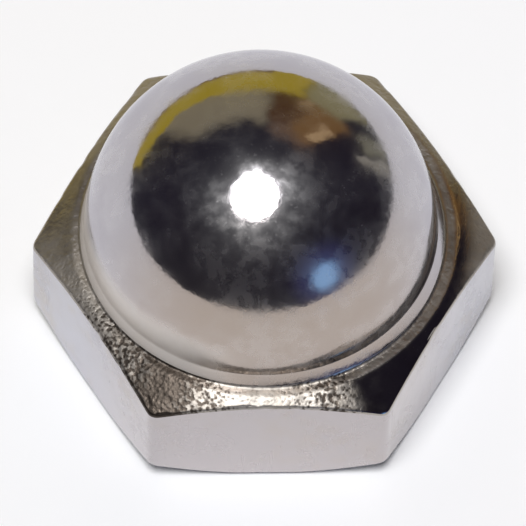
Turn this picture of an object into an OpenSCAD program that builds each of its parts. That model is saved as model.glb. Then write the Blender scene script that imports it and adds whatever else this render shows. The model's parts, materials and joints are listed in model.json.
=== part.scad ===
// A one-piece domed cap nut, drawn standing on its bearing face.
// The origin is at the centre of the bearing face and +Z runs up the axis of the thread.
// Two opposite corners of the hexagon lie on X, so two opposite flats face +Y and -Y.

/* [Hexagon] */
// Width across the flats
across_flats = 17; // [16:0.1:18.5]
// Height of the hexagon, from the bearing face to the shoulder
hex_h = 5.6; // [4.5:0.1:8]
// How much is turned off each of the six upright edges, measured along the radius
edge_break = 0.08; // [0.04:0.01:0.3]
// Slope of the chamfer on top, in degrees from level
top_slope = 28; // [20:1:40]
// How far inside the middle of each flat that chamfer starts
chamfer_inset = 0.4; // [0.1:0.05:0.5]
// Slope of the corner chamfer below, in degrees from level
bottom_slope = 30; // [15:1:35]
// How far the bearing face stands in from the middle of each flat
bearing_step = 0.1; // [0.05:0.05:0.6]

/* [Dome] */
// Width of the shoulder, from the foot of the dome to the middle of a flat
shoulder_w = 0.8; // [0.65:0.05:1.5]
// Height of the flared foot under the dome
foot_h = 0.5; // [0.2:0.05:2]
// How much wider the foot is at the shoulder than under the dome, measured along the radius
foot_flare = 0.3; // [0.05:0.05:0.5]

/* [Thread] */
// Nominal diameter of the thread
thread_d = 10; // [8:0.5:10.5]
// Pitch of the thread
pitch = 1.5; // [0.75:0.25:1.75]
// Metal left between the tip of the drilled hole and the top of the dome
crown_wall = 2.2; // [1.5:0.1:4]
// Full angle of the drilled hole's cone
point_angle = 118; // [90:1:140]
// How much wider the mouth of the hole is than the thread
mouth_clearance = 0.8; // [0.2:0.1:1.2]
// Full angle of the countersink at the mouth
mouth_angle = 120; // [90:5:120]

/* [Hidden] */
$fn = 96;

// A cut runs this far past the faces it opens, so that no skin is left on them
past = 1;

flats_r = across_flats / 2;
corner_r = flats_r / cos(30);
land_r = corner_r - edge_break;

foot_r = flats_r - shoulder_w;
dome_r = foot_r - foot_flare;
dome_z = hex_h + foot_h;
total_h = dome_z + dome_r;

// Crests of the basic profile stand five eighths of the sharp thread's height inside the nominal size
sharp_h = pitch * sqrt(3) / 2;
bore_r = thread_d / 2 - sharp_h * 5 / 8;
mouth_r = (thread_d + mouth_clearance) / 2;
mouth_h = (mouth_r - bore_r) / tan(mouth_angle / 2);
point_h = bore_r / tan(point_angle / 2);
bore_h = total_h - crown_wall - point_h;

// Half outline of the turned blank: both chamfers, and the land that breaks the upright edges
module blank_half() {
    bearing_r = flats_r - bearing_step;
    chamfer_r = flats_r - chamfer_inset;
    polygon([
        [0, 0],
        [bearing_r, 0],
        [land_r, (land_r - bearing_r) * tan(bottom_slope)],
        [land_r, hex_h - (land_r - chamfer_r) * tan(top_slope)],
        [chamfer_r, hex_h],
        [0, hex_h]
    ]);
}

// Hexagonal bar with corners on X, cut to the outline of the blank
module hexagon_body() {
    intersection() {
        translate([0, 0, -past]) cylinder(r = corner_r, h = hex_h + 2 * past, $fn = 6);
        rotate_extrude() blank_half();
    }
}

// Half outline of the dome on its flared foot.
// It is sunk a little into the hexagon, so that the two make one solid.
module crown_half() {
    sink = hex_h / 4;
    polygon([
        [0, hex_h - sink],
        [foot_r, hex_h - sink],
        [foot_r, hex_h],
        [dome_r, dome_z],
        [0, dome_z]
    ]);
    intersection() {
        translate([0, dome_z]) circle(r = dome_r);
        translate([0, dome_z - sink]) square([dome_r, total_h]);
    }
}

// Blind hole from the bearing face: countersunk mouth, tapping bore and drill point
module blind_hole() {
    translate([0, 0, -past])
        cylinder(r = bore_r, h = past + bore_h);
    translate([0, 0, bore_h])
        cylinder(r1 = bore_r, r2 = 0, h = point_h);
    rotate_extrude() polygon([
        [0, -past],
        [mouth_r + past * tan(mouth_angle / 2), -past],
        [bore_r, mouth_h],
        [0, mouth_h]
    ]);
}

module cap_nut() {
    color([0.72, 0.71, 0.70]) difference() {
        union() {
            hexagon_body();
            rotate_extrude() crown_half();
        }
        blind_hole();
    }
}

cap_nut();
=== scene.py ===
"""A bright plated cap nut: a chamfered hexagon under a polished dome, with a tapped hole from below.

The nut is one closed surface, worked out on a grid. One direction of the grid runs round the axis. The
other runs from the top of the dome down to its flared foot, out over the shoulder, down the flats, across
the bearing face and up the tapped hole to the tip of its drill point.
"""
import json
from math import asin, atan2, cos, pi, radians, sin, sqrt, tan

import bpy
import numpy as np
from mathutils import Matrix, Vector


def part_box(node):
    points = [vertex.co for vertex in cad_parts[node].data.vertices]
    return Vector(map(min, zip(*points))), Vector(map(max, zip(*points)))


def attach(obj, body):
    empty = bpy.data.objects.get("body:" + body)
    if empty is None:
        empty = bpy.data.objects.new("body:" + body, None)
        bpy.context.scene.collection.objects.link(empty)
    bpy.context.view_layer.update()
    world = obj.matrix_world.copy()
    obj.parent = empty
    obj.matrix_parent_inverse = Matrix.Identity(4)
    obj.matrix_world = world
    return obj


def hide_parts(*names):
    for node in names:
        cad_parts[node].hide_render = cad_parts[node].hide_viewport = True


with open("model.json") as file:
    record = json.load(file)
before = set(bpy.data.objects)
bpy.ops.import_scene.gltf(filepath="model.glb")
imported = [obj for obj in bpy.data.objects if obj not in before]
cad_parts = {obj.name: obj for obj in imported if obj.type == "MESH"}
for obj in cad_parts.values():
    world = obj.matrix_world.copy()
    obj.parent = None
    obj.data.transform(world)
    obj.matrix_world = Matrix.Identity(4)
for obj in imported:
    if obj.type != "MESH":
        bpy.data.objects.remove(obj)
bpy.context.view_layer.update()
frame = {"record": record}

MM = 0.001

# Sizes in millimetres. The frame gives the outside of the nut and the wall of its bore.
_, nut_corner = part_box("cap_nut")
land_r, flats_r, total_h = (length / MM for length in nut_corner)
mounts = {mount["name"]: mount for mount in frame["record"]["mounts"]}
bore_r = mounts["thread"]["dims"]["r_mm"]
wall_h = mounts["thread"]["dims"]["length_mm"]

# The rest are the part's own
shoulder_w = 0.8
foot_h = 0.5
foot_flare = 0.3
top_slope = radians(28)
chamfer_inset = 0.4
bottom_slope = radians(30)
bearing_step = 0.1
thread_d = 10.0
pitch = 1.5
mouth_clearance = 0.8
mouth_angle = radians(120)
point_angle = radians(118)

foot_r = flats_r - shoulder_w
dome_r = foot_r - foot_flare
dome_z = total_h - dome_r
hex_h = dome_z - foot_h
chamfer_r = flats_r - chamfer_inset
bearing_r = flats_r - bearing_step
mouth_r = (thread_d + mouth_clearance) / 2
mouth_h = (mouth_r - bore_r) / tan(mouth_angle / 2)
bore_h = mouth_h + wall_h
point_h = bore_r / tan(point_angle / 2)

# Soft edges that a plated forging has
edge_r = (flats_r / cos(pi / 6) - land_r) / (1 / cos(pi / 6) - 1)
waist_r = 0.4
waist_lean = radians(25.5)
foot_lean = radians(30)
crease_r = 0.18
upper_rim_r = 0.2
lower_rim_r = 0.3
blend_w = 0.05

# The thread's groove: its depth, the width of one flank along the axis, half of its flat root, and the
# height over which it runs out at the end
groove_h = thread_d / 2 - bore_r
flank_w = groove_h * tan(pi / 6)
root_w = pitch / 16
runout_h = 1.6

# How far the forging die set the dome, and the bottom of its foot, off the axis of the hexagon
dome_shift = -0.19
foot_shift = -0.1

# The grid: its columns round each upright edge and along each flat, and its steps along the outline
EDGE_COLUMNS = 12
FLAT_COLUMNS = 50
edge_half_turn = radians(2)
STEPS = {
    "dome": 46,
    "waist": 6,
    "flare": 8,
    "crease": 7,
    "shoulder": 20,
    "rim": 7,
    "lower chamfer": 8,
    "bearing face": 4,
    "tapped wall": 138,
    "drill point": 9,
}

# From here on, a pair of numbers says where something begins and where it is full. Turns round the nut
# are in radians from the side that is named.

# Dents in the shoulder, which the tool left on one side of the nut more than on the other
dent_size = 0.8
dent_depth = 0.016
dent_levels = (-0.6, 1.4)
dent_free_w = 0.5
dent_side = radians(240)
dents_begin = (-1.9, -0.6)
dents_end = (1.02, 0.85)
least_dented = 0.02

# Nicks along both rims, which are shallow on the lower one
nick_size = 1.1
nick_levels = (0.2, 1.6)
nick_depth = 0.03
lower_nick_depth = nick_depth / 6

# Painted dark reflections in the dents, standing for the dark room that the dents mirror: most of it at
# the dented corner, and little on the front, where the lamp glints. Both of those fade along a bell curve,
# whose width is given as a turn.
painted_dark_most = 0.85
painted_dark_begins = (-0.9, -0.2)
corner_painted_dark = 0.4
corner_turn = 0.16
lamp_glint_side = radians(268)
lamp_glint_turn = 0.25
spared_at_glint = 0.75

# Where else the shoulder is dull: on its level ring, at the back, and at the corner on +X. The back goes
# by the sine of the angle and the corner by its cosine.
ring_dullness = 0.55
ring_edge_w = 0.1
back_dullness = 0.8
back_sines = (0.0, 0.6)
corner_cosines = (0.84, 0.98)
corner_radii = (foot_r + 0.3, land_r - 0.6)

# The side of the nut whose plating gets a painted warm reflection, brown on the dome and warm on the
# flats: the cosine from it, and the share of the dome's radius
painted_warm_side = radians(275)
painted_warm_cosines = (0.2, 0.97)
painted_warm_radii = (0.35, 0.85)

# The side where the lowest part of the dome and its foot are dull
dull_side = radians(195)
dull_turn = (1.25, 0.75)
dull_radii = (dome_r - 0.25, dome_r - 0.02)


def ripple(x, y, z, size, seed):
    """Smooth random relief between about -1 and 1.

    It is the sum of plane sine waves whose lengths lie round the given size. Their directions and phases
    come from the seed.
    """
    waves = 28
    spread = (0.7, 1.5)
    rng = np.random.default_rng(seed)
    direction = rng.normal(size=(waves, 3))
    direction /= np.linalg.norm(direction, axis=1, keepdims=True)
    direction *= (2 * pi / size) * rng.uniform(*spread, (waves, 1))
    phase = rng.uniform(0, 2 * pi, waves)
    total = np.zeros(np.broadcast(x, y, z).shape)
    for (a, b, c), shift in zip(direction, phase):
        total += np.sin(a * x + b * y + c * z + shift)
    return total / sqrt(waves)


def smooth(low, high, value):
    """The S-curve 3t^2 - 2t^3, where t goes from 0 at low to 1 at high and stays there."""
    t = np.clip((value - low) / (high - low), 0, 1)
    return t * t * (3 - 2 * t)


def soft_ramp(value, width):
    """Nought below zero and the value itself above, blended over the width: w ln(1 + exp(v / w))."""
    return width * np.logaddexp(0, value / width)


def ramp_slope(value, width):
    """How steep the soft ramp is: 1 / (1 + exp(-v / w)). The clip only keeps the exponential in range."""
    return 1 / (1 + np.exp(-np.clip(value / width, -50, 50)))


def angles_round():
    """Angles of the grid's columns: even steps along the flats, finer ones round the upright edges."""
    round_edge = np.linspace(-edge_half_turn, edge_half_turn, EDGE_COLUMNS, endpoint=False)
    along_flat = np.linspace(edge_half_turn, pi / 3 - edge_half_turn, FLAT_COLUMNS, endpoint=False)
    sector = np.concatenate([round_edge, along_flat])
    return (sector[None, :] + np.arange(6)[:, None] * pi / 3).ravel()


def turn_from(side, angle):
    """The turn from a side of the nut to an angle, between minus and plus half a turn."""
    return (angle - side + pi) % (2 * pi) - pi


def hexagon_r(angle):
    """Distance from the axis to the rounded hexagon.

    On a flat it is the flats' distance over the cosine of the angle from the flat's middle. At an upright
    edge it is where the ray leaves a circle of the edge's radius that touches both flats.
    """
    off = np.abs((angle + pi / 6) % (pi / 3) - pi / 6)
    centre = (flats_r - edge_r) / cos(pi / 6)
    touch = atan2(edge_r * sin(pi / 6), centre + edge_r * cos(pi / 6))
    flat = flats_r / np.cos(pi / 6 - off)
    edge = centre * np.cos(off) + np.sqrt(np.maximum(edge_r**2 - (centre * np.sin(off)) ** 2, 0))
    return np.where(off < touch, edge, flat)


def steps(stretch, first=False):
    """A column of even steps from 0 to 1 along a stretch, without the 0 unless it is asked for."""
    shares = np.linspace(0, 1, STEPS[stretch] + 1)[:, None]
    return shares if first else shares[1:]


def hollow_arc(centre, radius, first_lean, last_lean, stretch):
    """Points of a hollow arc. Its wall leans back by the first angle at its start, the last at its end."""
    lean = first_lean + steps(stretch) * (last_lean - first_lean)
    return centre[0] - radius * np.cos(lean), centre[1] - radius * np.sin(lean)


# The dome runs out into its foot in three hollow arcs, and each touches the next: a tight one at the
# waist, a wide one down the flare, and a tight one in the crease where the flare meets the shoulder.
foot_arc_r = (foot_flare - waist_r * (1 - cos(waist_lean))) / (cos(waist_lean) - cos(foot_lean))
foot_arc = foot_r + foot_arc_r * cos(foot_lean), hex_h + foot_arc_r * sin(foot_lean)
waist_z = foot_arc[1] - (foot_arc_r - waist_r) * sin(waist_lean)
waist_arc = dome_r + waist_r, waist_z
crease_lean = asin((foot_arc[1] - hex_h - crease_r) / (foot_arc_r - crease_r))
crease_arc = foot_arc[0] - (foot_arc_r - crease_r) * cos(crease_lean), hex_h + crease_r


def dome_rows(angle):
    """Quarter circle about the dome's centre, then the arcs of the waist and the flare."""
    turn = steps("dome") * pi / 2
    r, z = dome_r * np.sin(turn), dome_z + dome_r * np.cos(turn)
    kept = z[:, 0] > waist_z
    waist = hollow_arc(waist_arc, waist_r, 0, waist_lean, "waist")
    flare = hollow_arc(foot_arc, foot_arc_r, waist_lean, crease_lean, "flare")
    r = np.concatenate([r[kept], waist[0], flare[0]])
    z = np.concatenate([z[kept], waist[1], flare[1]])
    return r + 0 * angle, z + 0 * angle


def crease_rows(angle):
    """The arc of the crease, which ends level on the shoulder."""
    r, z = hollow_arc(crease_arc, crease_r, crease_lean, pi / 2, "crease")
    return r + 0 * angle, z + 0 * angle


def shoulder_z(r):
    """Level out to the chamfer's circle, then down the chamfer's slope."""
    return hex_h - tan(top_slope) * soft_ramp(r - chamfer_r, blend_w)


def underside_z(r):
    """Level out to the bearing face's edge, then up the lower chamfer's slope."""
    return tan(bottom_slope) * soft_ramp(r - bearing_r, blend_w)


def rim(hexagon, start_r, slope, rim_r):
    """Start radius and start angle of the rounding between a sloped face and a flat."""
    lean = np.arctan(slope * ramp_slope(hexagon - rim_r / 2 - start_r, blend_w))
    return hexagon - rim_r * (1 - np.sin(lean)), lean


def shoulder_rows(angle):
    """From the crease out to the rim along the level shoulder and the chamfer."""
    end_r, _ = rim(hexagon_r(angle), chamfer_r, tan(top_slope), upper_rim_r)
    first_r = crease_rows(angle)[0][-1]
    r = first_r + steps("shoulder") * (end_r - first_r)
    return r, shoulder_z(r)


def upper_rim_rows(angle):
    """Rounding from the shoulder's slope to upright: an arc of the upper rim's radius."""
    hexagon = hexagon_r(angle)
    start_r, lean = rim(hexagon, chamfer_r, tan(top_slope), upper_rim_r)
    centre_z = shoulder_z(start_r) - upper_rim_r * np.cos(lean)
    turn = lean + steps("rim") * (pi / 2 - lean)
    return hexagon - upper_rim_r * (1 - np.sin(turn)), centre_z + upper_rim_r * np.cos(turn)


def lower_rim_rows(angle):
    """Rounding from upright to the lower chamfer's slope: an arc of the lower rim's radius."""
    hexagon = hexagon_r(angle)
    start_r, lean = rim(hexagon, bearing_r, tan(bottom_slope), lower_rim_r)
    centre_z = underside_z(start_r) + lower_rim_r * np.cos(lean)
    turn = pi / 2 - steps("rim", first=True) * (pi / 2 - lean)
    return hexagon - lower_rim_r * (1 - np.sin(turn)), centre_z - lower_rim_r * np.cos(turn)


def flat_rows(angle, top_z, bottom_z):
    """Straight down each flat, with a row close to each rim."""
    share = np.array([0.03, 0.2, 0.4, 0.6, 0.8, 0.97])[:, None]
    z = top_z + share * (bottom_z - top_z)
    return hexagon_r(angle) + 0 * z, z


def underside_rows(angle):
    """In along the lower chamfer and across the bearing face to the mouth of the hole.

    The steps of the bearing face begin a little inside its edge, where the blend to the chamfer is over.
    """
    start_r, _ = rim(hexagon_r(angle), bearing_r, tan(bottom_slope), lower_rim_r)
    inner_r = bearing_r - 6 * blend_w
    chamfer = start_r + steps("lower chamfer") * (inner_r - start_r)
    face = inner_r + steps("bearing face") * (mouth_r + blend_w - inner_r) + 0 * angle
    r = np.concatenate([chamfer, face])
    return r, np.concatenate([underside_z(chamfer), 0 * face])


def hole_rows(angle):
    """The countersink, the tapped wall and the drill point.

    The countersink is a cone and the bore a cylinder. The thread's groove follows a right-hand helix: its
    middle climbs by one pitch in each turn. Across the axis the groove is as deep as the thread over its
    flat root, and rises along a straight flank to the bore. It fades out short of the drill point. One
    row lies close to the hole's mouth and one close to the start of the drill point.
    """
    second_row_z = 0.03
    least_gap = 0.01
    first_point_share = 0.02
    z = np.concatenate([[[0.0], [second_row_z]], steps("tapped wall") * bore_h]) + 0 * angle
    z[2:] = np.maximum(z[2:], z[1] + least_gap)
    away = np.abs((z / pitch - angle / (2 * pi)) % 1 - 0.5) * pitch
    groove = np.clip((root_w + flank_w - away) / flank_w, 0, 1)
    fade = 1 - smooth(bore_h - runout_h, bore_h - runout_h / 4, z)
    tapped = bore_r + groove_h * groove * fade
    countersink = mouth_r - z * tan(mouth_angle / 2)
    point = np.concatenate([[[first_point_share]], steps("drill point")[:-1]])
    r = np.concatenate([np.maximum(tapped, countersink), bore_r * (1 - point) + 0 * angle])
    return r, np.concatenate([z, bore_h + point_h * point + 0 * angle])


def hammer_share(angle):
    """How hammered the shoulder is round the nut: 1 on the dented side, little across from it.

    It falls off slowly one way round and sharply the other.
    """
    off = turn_from(dent_side, angle)
    return least_dented + (1 - least_dented) * smooth(*dents_begin, off) * smooth(*dents_end, off)


def worn_share(angle, r):
    """How rough the shoulder is: as hammered, or dull on its ring, at the back and at one corner."""
    ring = ring_dullness * smooth(chamfer_r + ring_edge_w, chamfer_r - ring_edge_w, r) + 0 * angle
    back = back_dullness * smooth(*back_sines, np.sin(angle)) + 0 * r
    corner = smooth(*corner_cosines, np.cos(angle)) * smooth(*corner_radii, r)
    return np.maximum.reduce([hammer_share(angle) + 0 * r, ring, back, corner])


def painted_dark_share(angle):
    """How much painted dark reflection lies in the shoulder's dents: as hammered, but little on the front,
    where the lamp glints.

    It fades out sooner than the dents do towards the corner on -X, and is thickest at the dented corner.
    """
    at_glint = np.exp(-((turn_from(lamp_glint_side, angle) / lamp_glint_turn) ** 2))
    off = turn_from(dent_side, angle)
    corner = corner_painted_dark * np.exp(-((off / corner_turn) ** 2))
    painted_dark = painted_dark_most - spared_at_glint * at_glint + corner
    return hammer_share(angle) * smooth(*painted_dark_begins, off) * painted_dark


def painted_warm_share(angle, r):
    """How much painted warm reflection the plating gets: 1 on the side it is painted on, 0 across from it
    and on the dome's top.
    """
    round_nut = smooth(*painted_warm_cosines, np.cos(angle - painted_warm_side))
    return round_nut * smooth(*painted_warm_radii, r / dome_r)


def dull_share(angle, r):
    """How dull and pale the plating is low on the dome: 1 on its foot round the dull side."""
    off = np.abs(turn_from(dull_side, angle))
    return smooth(*dull_turn, off) * smooth(*dull_radii, r)


def dented(angle, r, z):
    """Relief of the shoulder: how far each point of it is pushed down, never up.

    It is two ripples, one of them half as large and half as strong. The dents fade out at the foot of the
    dome, and are as deep as the shoulder is hammered there.
    """
    x, y = r * np.cos(angle), r * np.sin(angle)
    away = smooth(foot_r, foot_r + dent_free_w, r)
    relief = ripple(x, y, z, dent_size, 11) + 0.5 * ripple(x, y, z, dent_size / 2, 12)
    return dent_depth * hammer_share(angle) * away * smooth(*dent_levels, relief)


def nicked(angle, z, depth):
    """Small nicks along a rim: how far each point of it is pushed towards the axis, up to the depth."""
    x, y = flats_r * np.cos(angle), flats_r * np.sin(angle)
    return depth * smooth(*nick_levels, ripple(x, y, z, nick_size, 21))


def nut_grid():
    """Angles of the grid's columns, and the radius and height of each part's rows, from top to tip."""
    angle = angles_round()[None, :]
    parts = {}
    parts["dome"] = dome_rows(angle)
    parts["crease"] = crease_rows(angle)
    r, z = shoulder_rows(angle)
    parts["shoulder"] = r, z - dented(angle, r, z)
    r, z = upper_rim_rows(angle)
    parts["upper_rim"] = r - nicked(angle, z, nick_depth), z - dented(angle, r, z)
    lower_r, lower_z = lower_rim_rows(angle)
    parts["flats"] = flat_rows(angle, z[-1:], lower_z[:1])
    parts["lower_rim"] = lower_r - nicked(angle, lower_z, lower_nick_depth), lower_z
    parts["underside"] = underside_rows(angle)
    parts["hole"] = hole_rows(angle)
    return angle, parts


def off_axis(parts, r):
    """How far along X each point is off the axis: the dome most, its foot less, the chamfer not at all.

    Between the dome's radius, the foot's and the chamfer's circle it changes evenly with the radius.
    """
    moved = []
    for name, (_, part_z) in parts.items():
        moved += [name in ("dome", "crease", "shoulder")] * len(part_z)
    shift = np.interp(r, [dome_r, foot_r, chamfer_r], [dome_shift, foot_shift, 0])
    return shift * np.array(moved)[:, None]


def store_shares(mesh, angle, r):
    """Stores how far each kind of wear, and each painted reflection, has gone at each point, for the
    materials. Both poles have 0.
    """
    shares = {
        "hammered": worn_share(angle, r),
        # Painted dark reflections in the shoulder's dents
        "stained": painted_dark_share(angle) + 0 * r,
        # Painted warm reflection on the front side
        "tarnished": painted_warm_share(angle, r),
        "dull": dull_share(angle, r),
    }
    for label, values in shares.items():
        stored = mesh.attributes.new(label, "FLOAT", "POINT")
        stored.data.foreach_set("value", np.concatenate([[0], values.ravel(), [0]]).astype(np.float32))


def nut_mesh(name):
    """Joins the grid into one closed mesh with a point at each pole.

    The rows of the dome and the shoulder are set off the axis. Each face gets the finish of the later of
    its two rows, and each point how worn it is and how much painted reflection it gets. Also returns the
    finishes in the order of their numbers.
    """
    angle, parts = nut_grid()
    r = np.concatenate([part_r + 0 * angle for part_r, _ in parts.values()])
    z = np.concatenate([part_z + 0 * angle for _, part_z in parts.values()])
    rows, columns = r.shape
    finishes = list(dict.fromkeys(FINISH_OF.values()))
    row_finish = np.concatenate(
        [np.full(len(part_z), finishes.index(FINISH_OF[part])) for part, (_, part_z) in parts.items()]
    )
    x = r * np.cos(angle) + off_axis(parts, r)
    grid = np.stack([x, r * np.sin(angle), z], axis=-1).reshape(-1, 3)
    top, tip = [dome_shift, 0, total_h], [0, 0, bore_h + point_h]
    points = np.concatenate([[top], grid, [tip]]) * MM

    index = 1 + np.arange(rows * columns).reshape(rows, columns)
    beside = np.roll(index, -1, axis=1)
    quads = np.stack([index[:-1], index[1:], beside[1:], beside[:-1]], axis=-1).reshape(-1, 4)
    pole = np.zeros(columns, int)
    top_fan = np.stack([pole, index[0], beside[0]], axis=-1)
    tip_fan = np.stack([index[-1], pole + rows * columns + 1, beside[-1]], axis=-1)
    face_finish = np.concatenate(
        [
            np.repeat(row_finish[1:], columns),
            np.full(columns, row_finish[0]),
            np.full(columns, row_finish[-1]),
        ]
    )

    mesh = bpy.data.meshes.new(name)
    mesh.from_pydata(points.tolist(), [], quads.tolist() + top_fan.tolist() + tip_fan.tolist())
    mesh.polygons.foreach_set("material_index", face_finish.astype(np.int32))
    mesh.polygons.foreach_set("use_smooth", np.ones(len(face_finish), bool))
    store_shares(mesh, angle, r)
    mesh.update()
    return mesh, finishes


class Recipe:
    """Places shader nodes in a tree and joins them by socket name."""

    def __init__(self, tree):
        self.tree = tree

    def node(self, kind, settings=None, **inputs):
        """A new node with its settings, and a value or a link for each input that is named."""
        made = self.tree.nodes.new(kind)
        for key, value in (settings or {}).items():
            setattr(made, key, value)
        for key, value in inputs.items():
            self.plug(made.inputs[key.replace("_", " ")], value)
        return made

    def plug(self, socket, value):
        if isinstance(value, bpy.types.NodeSocket):
            self.tree.links.new(value, socket)
        else:
            socket.default_value = value

    def math(self, operation, a, b=0.0, c=0.0):
        made = self.node("ShaderNodeMath", {"operation": operation})
        for socket, value in zip(made.inputs, (a, b, c)):
            self.plug(socket, value)
        return made.outputs[0]

    def degrees(self, turn):
        return self.math("MULTIPLY", turn, 180 / pi)

    def per_mm(self, size):
        """Scale of a texture whose features have a size in millimetres."""
        return self.math("DIVIDE", 1 / MM, size)

    def range(self, value, low, high, to_low=0.0, to_high=1.0):
        """Maps low to high onto the other two along an S-curve, and stays there beyond them."""
        made = self.node(
            "ShaderNodeMapRange",
            {"interpolation_type": "SMOOTHSTEP"},
            Value=value, From_Min=low, From_Max=high, To_Min=to_low, To_Max=to_high,
        )
        return made.outputs[0]

    def mix(self, share, a, b):
        """The first colour at a share of 0 and the second at 1."""
        made = self.node("ShaderNodeMix", {"data_type": "RGBA"})
        colours = [socket for socket in made.inputs if socket.type == "RGBA"]
        self.plug(made.inputs[0], share)
        self.plug(colours[0], a)
        self.plug(colours[1], b)
        return [socket for socket in made.outputs if socket.type == "RGBA"][0]

    def place(self):
        """Where a point is on the object."""
        return self.node("ShaderNodeTexCoord").outputs["Object"]

    def share(self, label):
        """One of the shares that are stored at the mesh's points."""
        return self.node("ShaderNodeAttribute", {"attribute_name": label}).outputs["Fac"]

    def noise(self, place, scale, detail=2.0, offset=(0, 0, 0)):
        """Noise from 0 to 1. The offset picks another part of the same noise."""
        moved = self.node("ShaderNodeVectorMath", {"operation": "ADD"})
        self.plug(moved.inputs[0], place)
        self.plug(moved.inputs[1], offset)
        made = self.node("ShaderNodeTexNoise", Vector=moved.outputs[0], Scale=scale, Detail=detail)
        return made.outputs[0]


def effect(name, inputs, outputs):
    """A shader node group with named inputs and outputs. Returns it with its recipe and both its ends."""
    group = bpy.data.node_groups.new(name, "ShaderNodeTree")
    for label, value in inputs.items():
        kind = "NodeSocketColor" if isinstance(value, tuple) else "NodeSocketFloat"
        group.interface.new_socket(label, in_out="INPUT", socket_type=kind).default_value = value
    for label, kind in outputs.items():
        group.interface.new_socket(label, in_out="OUTPUT", socket_type="NodeSocket" + kind)
    start, end = group.nodes.new("NodeGroupInput"), group.nodes.new("NodeGroupOutput")
    return group, Recipe(group), start.outputs, end.inputs


def plate_colour_effect():
    """Plating colour with faint cloudy stains: two noises of different size pick between two colours."""
    group, do, given, out = effect(
        "plate colour",
        {"Plate": (0.5, 0.5, 0.5, 1), "Stain": (0.4, 0.36, 0.3, 1), "Size mm": 4.0, "Amount": 0.5},
        {"Color": "Color"},
    )
    specks_per_cloud = 5
    place = do.place()
    scale = do.per_mm(given["Size mm"])
    cloud = do.noise(place, scale, detail=3)
    speck = do.noise(place, do.math("MULTIPLY", scale, specks_per_cloud), offset=(3, 1, 2))
    both = do.math("MULTIPLY", do.range(cloud, 0.45, 0.7), do.range(speck, 0.3, 0.7))
    stained = do.math("MULTIPLY", both, given["Amount"])
    do.plug(out["Color"], do.mix(stained, given["Plate"], given["Stain"]))
    return group


def gloss_effect():
    """Roughness that wanders between polished and hazy in clouds, which are mottled with finer patches.

    Fine hairline scratches are hazy too: they are the peaks of a noise that is drawn out along one way.
    The haze is also put out by itself, from 0 to 1.
    """
    group, do, given, out = effect(
        "gloss",
        {"Polished": 0.05, "Hazy": 0.2, "Cloud mm": 1.5, "Patch mm": 0.4, "Scratches": 0.2},
        {"Roughness": "Float", "Haze": "Float"},
    )
    hairs_per_mm = 7
    place = do.place()
    cloud = do.noise(place, do.per_mm(given["Cloud mm"]), offset=(5, 0, 1))
    patch = do.noise(place, do.per_mm(given["Patch mm"]))
    haze = do.math("MULTIPLY", do.range(cloud, 0.3, 0.7), do.range(patch, 0.3, 0.7, 0.5, 1.5))
    stretched = do.node("ShaderNodeMapping", Vector=place)
    stretched.inputs["Rotation"].default_value = (0.4, 0.9, 0.3)
    stretched.inputs["Scale"].default_value = (1, 1, 0.04)
    hair = do.noise(stretched.outputs[0], hairs_per_mm / MM, detail=1)
    hair = do.math("MULTIPLY", do.range(hair, 0.66, 0.72), given["Scratches"])
    haze = do.math("MINIMUM", do.math("ADD", haze, hair), 1.0)
    span = do.math("SUBTRACT", given["Hazy"], given["Polished"])
    do.plug(out["Roughness"], do.math("MULTIPLY_ADD", haze, span, given["Polished"]))
    do.plug(out["Haze"], haze)
    return group


def plating_skin_effect():
    """Relief of plated metal in millimetres: a low orange peel, and pits of a size of their own.

    The pits are also put out by themselves, from 0 to 1.
    """
    group, do, given, out = effect(
        "plating skin",
        {"Peel size mm": 1.2, "Peel mm": 0.001, "Pit size mm": 0.5, "Pit mm": 0.0},
        {"Height": "Float", "Pits": "Float"},
    )
    place = do.place()
    peel = do.noise(place, do.per_mm(given["Peel size mm"]), offset=(2, 7, 1))
    pit_scale = do.per_mm(given["Pit size mm"])
    cells = do.node("ShaderNodeTexVoronoi", {"feature": "SMOOTH_F1"}, Vector=place, Scale=pit_scale)
    lumps = do.noise(place, pit_scale, detail=3, offset=(1, 4, 6))
    pits = do.range(do.math("ADD", cells.outputs["Distance"], lumps), 0.55, 1.15)
    height = do.math("MULTIPLY", peel, given["Peel mm"])
    do.plug(out["Height"], do.math("MULTIPLY_ADD", pits, given["Pit mm"], height))
    do.plug(out["Pits"], pits)
    return group


def turning_rings_effect():
    """Relief in millimetres of the rings that a lathe leaves: a sine of the radius, broken by noise."""
    group, do, given, out = effect(
        "turning rings", {"Ring mm": 0.12, "Depth mm": 0.002}, {"Height": "Float"}
    )
    drift_scale = 300.0
    drift_turn = 9.0
    place = do.place()
    x, y, _ = do.node("ShaderNodeSeparateXYZ", Vector=place).outputs
    radius = do.math("SQRT", do.math("ADD", do.math("POWER", x, 2.0), do.math("POWER", y, 2.0)))
    turns = do.math("DIVIDE", do.math("MULTIPLY", radius, 2 * pi / MM), given["Ring mm"])
    drift = do.math("MULTIPLY", do.noise(place, drift_scale), drift_turn)
    wave = do.math("SINE", do.math("ADD", turns, drift))
    do.plug(out["Height"], do.math("MULTIPLY", wave, given["Depth mm"]))
    return group


EFFECTS = {
    "colour": plate_colour_effect(),
    "gloss": gloss_effect(),
    "skin": plating_skin_effect(),
    "rings": turning_rings_effect(),
}


def place_effect(do, name, **values):
    """Puts an effect into a material with the material's own values."""
    made = do.node("ShaderNodeGroup", {"node_tree": EFFECTS[name]})
    for label, value in values.items():
        do.plug(made.inputs[label.replace("_", " ")], value)
    return made.outputs


def new_material(name):
    """A new material, its recipe and its shader."""
    material = bpy.data.materials.new(name)
    material.use_nodes = True
    return material, Recipe(material.node_tree), material.node_tree.nodes["Principled BSDF"]


def metal(name):
    """A new metal material, its recipe and its shader's inputs."""
    material, do, shader = new_material(name)
    shader.inputs["Metallic"].default_value = 1.0
    return material, do, shader.inputs


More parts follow.
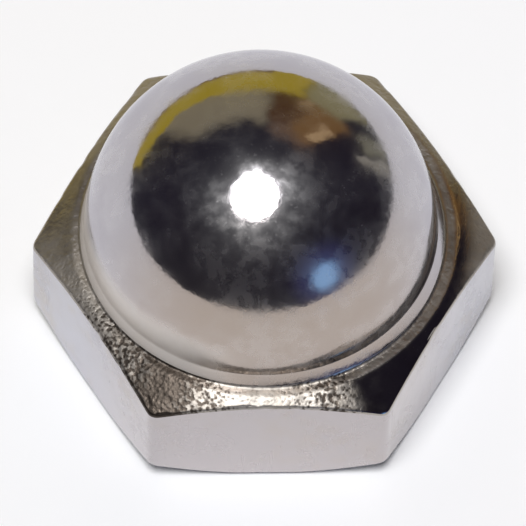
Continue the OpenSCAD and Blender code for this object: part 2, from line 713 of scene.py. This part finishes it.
def coat_with(do, shader, colour, roughness, height_mm):
    """Gives the shader a colour, a roughness and, as a bump, a relief in millimetres."""
    bump = do.node("ShaderNodeBump", Strength=1.0, Distance=MM, Height=height_mm)
    do.plug(shader["Base Color"], colour)
    do.plug(shader["Roughness"], roughness)
    do.plug(shader["Normal"], bump.outputs["Normal"])


def polished_dome():
    """Bright plating under a haze: a painted brown reflection on one side, dull and pale at the dull foot.
    """
    material, do, shader = metal("polished dome")
    painted_warm_strength = 0.8
    painted_warm_colour = (0.41, 0.33, 0.265, 1)
    dull_colour = (0.72, 0.67, 0.62, 1)
    dull_roughness = 0.45
    least_coat = 0.18
    coat_with_haze = 0.6
    colour = place_effect(
        do, "colour", Plate=(0.46, 0.44, 0.47, 1), Stain=(0.42, 0.39, 0.38, 1), Size_mm=5.0, Amount=0.4
    )
    gloss = place_effect(
        do, "gloss", Polished=0.07, Hazy=0.17, Cloud_mm=2.0, Patch_mm=0.45, Scratches=0.3
    )
    skin = place_effect(do, "skin", Peel_size_mm=0.35, Peel_mm=0.004, Pit_size_mm=0.35, Pit_mm=0.0002)
    dull = do.share("dull")
    # Painted warm reflection: brown on the front side of the dome's lower part
    tarnished = do.math("MULTIPLY", do.share("tarnished"), painted_warm_strength)
    tint = do.mix(dull, do.mix(tarnished, colour["Color"], painted_warm_colour), dull_colour)
    roughness = do.math("MULTIPLY_ADD", dull, dull_roughness, gloss["Roughness"])
    coat_with(do, shader, tint, roughness, skin["Height"])
    do.plug(shader["Coat Weight"], do.math("MULTIPLY_ADD", gloss["Haze"], coat_with_haze, least_coat))
    shader["Specular Tint"].default_value = (0.8, 0.8, 0.84, 1)
    shader["Coat Roughness"].default_value = 0.37
    shader["Coat IOR"].default_value = 2.4
    return material


def dented_shoulder():
    """Bright plating that is rough and peeled where it is hammered, with painted dark reflections in the
    pits there.
    """
    material, do, shader = metal("dented shoulder")
    painted_dark_colour = (0.075, 0.062, 0.052, 1)
    painted_dark_reach = 1.4
    hammered_roughness = 0.42
    painted_dark_roughness = -0.12
    colour = place_effect(
        do, "colour", Plate=(0.43, 0.40, 0.365, 1), Stain=(0.30, 0.26, 0.215, 1), Size_mm=1.6, Amount=0.6
    )
    gloss = place_effect(do, "gloss", Polished=0.08, Hazy=0.15, Cloud_mm=1.6, Patch_mm=0.5, Scratches=0.3)
    skin = place_effect(do, "skin", Peel_size_mm=0.45, Peel_mm=0.035, Pit_size_mm=0.16, Pit_mm=0.008)
    hammered = do.share("hammered")
    stained = do.share("stained")
    # Painted dark reflections: the pits in the dents get a dark colour
    painted_dark_amount = do.math("SUBTRACT", do.math("MULTIPLY", stained, painted_dark_reach), skin["Pits"])
    tint = do.mix(do.range(painted_dark_amount, -0.2, 0.8), colour["Color"], painted_dark_colour)
    roughness = do.math("MULTIPLY_ADD", hammered, hammered_roughness, gloss["Roughness"])
    roughness = do.math("MULTIPLY_ADD", stained, painted_dark_roughness, roughness)
    coat_with(do, shader, tint, roughness, do.math("MULTIPLY", skin["Height"], hammered))
    return material


def satin_flats():
    """Plating with a satin sheen, with a painted warm reflection on one side."""
    material, do, shader = metal("satin flats")
    painted_warm_strength = 0.6
    painted_warm_colour = (0.54, 0.48, 0.45, 1)
    colour = place_effect(
        do, "colour", Plate=(0.465, 0.46, 0.505, 1), Stain=(0.45, 0.41, 0.37, 1), Size_mm=3.5, Amount=0.6
    )
    gloss = place_effect(do, "gloss", Polished=0.17, Hazy=0.3, Cloud_mm=2.5, Patch_mm=0.5, Scratches=0.5)
    skin = place_effect(do, "skin", Peel_size_mm=1.8, Peel_mm=0.006, Pit_size_mm=0.5, Pit_mm=0.001)
    # Painted warm reflection on the front side of the flats
    tarnished = do.math("MULTIPLY", do.share("tarnished"), painted_warm_strength)
    tint = do.mix(tarnished, colour["Color"], painted_warm_colour)
    coat_with(do, shader, tint, gloss["Roughness"], skin["Height"])
    return material


def turned_bearing_face():
    """Plating over the fine rings that the lathe left, scratched by use."""
    material, do, shader = metal("turned bearing face")
    colour = place_effect(
        do, "colour", Plate=(0.50, 0.49, 0.48, 1), Stain=(0.38, 0.34, 0.29, 1), Size_mm=2.5, Amount=0.7
    )
    gloss = place_effect(do, "gloss", Polished=0.2, Hazy=0.36, Cloud_mm=2.0, Patch_mm=0.4, Scratches=0.8)
    rings = place_effect(do, "rings", Ring_mm=0.16, Depth_mm=0.004)
    coat_with(do, shader, colour["Color"], gloss["Roughness"], rings["Height"])
    return material


def tapped_hole():
    """Thin and stained plating in the hole."""
    material, do, shader = metal("tapped hole")
    colour = place_effect(
        do, "colour", Plate=(0.46, 0.44, 0.42, 1), Stain=(0.24, 0.20, 0.16, 1), Size_mm=1.8, Amount=0.8
    )
    gloss = place_effect(do, "gloss", Polished=0.22, Hazy=0.42, Cloud_mm=1.0, Patch_mm=0.3, Scratches=0.2)
    skin = place_effect(do, "skin", Peel_size_mm=0.5, Peel_mm=0.004, Pit_size_mm=0.2, Pit_mm=0.002)
    coat_with(do, shader, colour["Color"], gloss["Roughness"], skin["Height"])
    return material


# The finish of each part of the outline
FINISH_OF = {
    "dome": polished_dome,
    "crease": dented_shoulder,
    "shoulder": dented_shoulder,
    "upper_rim": dented_shoulder,
    "flats": satin_flats,
    "lower_rim": satin_flats,
    "underside": turned_bearing_face,
    "hole": tapped_hole,
}


def build_nut():
    """The nut, with one material for each finish."""
    mesh, finishes = nut_mesh("plated_cap_nut")
    for finish in finishes:
        mesh.materials.append(finish())
    nut = bpy.data.objects.new("plated_cap_nut", mesh)
    bpy.context.collection.objects.link(nut)
    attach(nut, "root")
    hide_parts("cap_nut")


def floor():
    """A wide sheet of pale paper, clear from below so that the hole can be looked into."""
    half = 3.0
    corners = [(-half, -half, 0), (half, -half, 0), (half, half, 0), (-half, half, 0)]
    mesh = bpy.data.meshes.new("paper")
    mesh.from_pydata(corners, [], [(0, 1, 2, 3)])
    paper = bpy.data.objects.new("paper", mesh)
    bpy.context.collection.objects.link(paper)
    material, do, shader = new_material("white paper")
    shader.inputs["Base Color"].default_value = (0.965, 0.975, 0.998, 1)
    shader.inputs["Roughness"].default_value = 0.8
    shader.inputs["Specular IOR Level"].default_value = 0.1
    below = do.node("ShaderNodeNewGeometry").outputs["Backfacing"]
    clear = do.node("ShaderNodeBsdfTransparent")
    mix = do.node("ShaderNodeMixShader", Fac=below)
    do.plug(mix.inputs[1], shader.outputs[0])
    do.plug(mix.inputs[2], clear.outputs[0])
    do.plug(material.node_tree.nodes["Material Output"].inputs["Surface"], mix.outputs[0])
    mesh.materials.append(material)


def direction(bearing, rise):
    """Unit vector at a bearing from +Y towards +X and a rise above the horizon, both in degrees."""
    bearing, rise = radians(bearing), radians(rise)
    return Vector((sin(bearing) * cos(rise), cos(bearing) * cos(rise), sin(rise)))


def overhead_lamp():
    """One wide, soft lamp almost overhead, a little towards the camera."""
    lamp = bpy.data.lights.new("overhead lamp", "SUN")
    lamp.energy = 2.9
    lamp.angle = radians(30)
    lamp.color = (1.0, 0.995, 0.985)
    lamp_object = bpy.data.objects.new("overhead lamp", lamp)
    bpy.context.collection.objects.link(lamp_object)
    lamp_object.rotation_mode = "QUATERNION"
    lamp_object.rotation_quaternion = direction(-161, 75.3).to_track_quat("Z", "Y")


# What stands round the table: colour, lowest and highest bearing, lowest and highest rise, softness, all
# in degrees, and how much higher the top edge gets with each degree to the right. A later thing hides an
# earlier one.
ROOM = {
    "wall": ((0.305, 0.265, 0.175), -48, 6, 5, 46, 6, 0.25),
    "dark brown cupboard": ((0.095, 0.042, 0.018), 6, 26, 20, 50, 3, 0),
    "light brown cupboard": ((0.17, 0.10, 0.06), 9, 50, 49, 60, 5, 0),
    "tan cupboard": ((0.25, 0.135, 0.048), 26, 48, 20, 53, 4, 0),
    "pale front": ((0.60, 0.41, 0.21), 41, 48, 33, 50, 2, 0),
    "pale corner": ((0.4, 0.27, 0.14), 21, 26, 22, 31, 1.5, 0),
    "grey box": ((0.33, 0.30, 0.16), 20, 42, 0, 22, 3, 0),
    "yellow card": ((0.51, 0.385, 0.033), -63, -4, -5, 15, 1.5, 0.24),
    "middle of the yellow card": ((0.51, 0.385, 0.033), -9, 20, -5, 22.5, 3, 0),
    "red edge": ((0.10, 0.03, 0.03), -50, 5, -5, 1.5, 1.5, 0),
    "near post": ((0.25, 0.24, 0.17), 51, 60, 0, 18, 2, 0),
    "far post": ((0.38, 0.36, 0.30), 62, 69, 0, 26, 2, 0),
}
ROOM_COLOUR = (0.018, 0.015, 0.027, 1)
BACKDROP_COLOUR = (0.92, 0.93, 0.95, 1)

# The window and the glow round it. A reach is the angle from its middle, in degrees, where it begins to
# show and where it is full.
WINDOW = direction(140, 13)
WINDOW_COLOUR = (0.43, 0.85, 1.6, 1)
WINDOW_REACH = (12.0, 5.0)
GLOW_COLOUR = (0.047, 0.047, 0.18, 1)
GLOW_REACH = (26.0, 10.0)

# How far the outlines of what stands about are bent, in degrees, and how finely
bearing_sway = 12.0
rise_sway = 9.0
sway_scale = 7.0


def dim_room():
    """A dim room round a white table: a window and what stands about, by bearing and rise in degrees.

    The metal mirrors the room. Seen directly, past the far edge of the table, it is a pale backdrop.
    """
    world = bpy.data.worlds.new("dim room")
    world.use_nodes = True
    bpy.context.scene.world = world
    do = Recipe(world.node_tree)
    way = do.node("ShaderNodeTexCoord").outputs["Generated"]
    x, y, z = do.node("ShaderNodeSeparateXYZ", Vector=way).outputs
    rise = do.degrees(do.math("ARCSINE", z))
    bearing = do.degrees(do.math("ARCTAN2", x, y))
    sway = do.math("SUBTRACT", do.noise(way, sway_scale), 0.5)
    lift = do.math("SUBTRACT", do.noise(way, sway_scale, offset=(4, 2, 8)), 0.5)
    rise = do.math("MULTIPLY_ADD", lift, rise_sway, rise)
    bearing = do.math("MULTIPLY_ADD", sway, bearing_sway, bearing)

    colour = ROOM_COLOUR
    for shade, left, right, low, high, soft, slant in ROOM.values():
        past_left = do.range(bearing, left - soft, left + soft)
        before_right = do.range(bearing, right + soft, right - soft)
        across = do.math("MULTIPLY", past_left, before_right)
        top = do.math("MULTIPLY_ADD", do.math("SUBTRACT", bearing, (left + right) / 2), -slant, rise)
        over_bottom = do.range(rise, low - soft, low + soft)
        under_top = do.range(top, high + soft, high - soft)
        upright = do.math("MULTIPLY", over_bottom, under_top)
        colour = do.mix(do.math("MULTIPLY", across, upright), colour, shade + (1,))

    toward_window = do.node("ShaderNodeVectorMath", {"operation": "DOT_PRODUCT"})
    do.plug(toward_window.inputs[0], way)
    do.plug(toward_window.inputs[1], WINDOW)
    off = do.degrees(do.math("ARCCOSINE", toward_window.outputs["Value"]))
    colour = do.mix(do.range(off, *GLOW_REACH), colour, GLOW_COLOUR)
    colour = do.mix(do.range(off, *WINDOW_REACH), colour, WINDOW_COLOUR)
    seen = do.node("ShaderNodeLightPath").outputs["Is Camera Ray"]
    background = world.node_tree.nodes["Background"].inputs
    do.plug(background["Color"], do.mix(seen, colour, BACKDROP_COLOUR))
    background["Strength"].default_value = 1.0


# The photograph's view. Lengths here are in widths across the flats, and across_flats_px is one width.
view_rise = radians(57.2)
view_bearing = radians(-2.87)
view_roll = radians(1.9)
view_distance = 20.0
across_flats_px = 404.6
picture_width = 526 / across_flats_px
aim_height = 0.3
aim_shift = (-1.7 / across_flats_px, -24.1 / across_flats_px)
sensor_width_mm = 36


def camera():
    """Looks down at the front flat. The aim is a little below the nut's middle, as in the photograph."""
    across = 2 * flats_r * MM
    level = cos(view_rise)
    back = Vector((sin(view_bearing) * level, -cos(view_bearing) * level, sin(view_rise)))
    right = Vector((cos(view_bearing), sin(view_bearing), 0))
    up = back.cross(right)
    rolled_right = right * cos(view_roll) + up * sin(view_roll)
    rolled_up = up * cos(view_roll) - right * sin(view_roll)
    data = bpy.data.cameras.new("camera")
    made = bpy.data.objects.new("camera", data)
    bpy.context.collection.objects.link(made)
    target = Vector((0, 0, aim_height)) + rolled_right * aim_shift[0] + rolled_up * aim_shift[1]
    eye = Vector((0, 0, aim_height)) + back * view_distance
    made.location = eye * across
    gaze = (eye - target).normalized()
    side = rolled_up.cross(gaze).normalized()
    top = gaze.cross(side)
    made.rotation_mode = "QUATERNION"
    made.rotation_quaternion = Matrix((side, top, gaze)).transposed().to_quaternion()
    data.sensor_width = sensor_width_mm
    data.lens = sensor_width_mm * view_distance / picture_width
    data.clip_start = 0.01
    data.clip_end = 20
    bpy.context.scene.camera = made


build_nut()
floor()
overhead_lamp()
dim_room()
camera()
bpy.context.scene.view_settings.view_transform = "Standard"
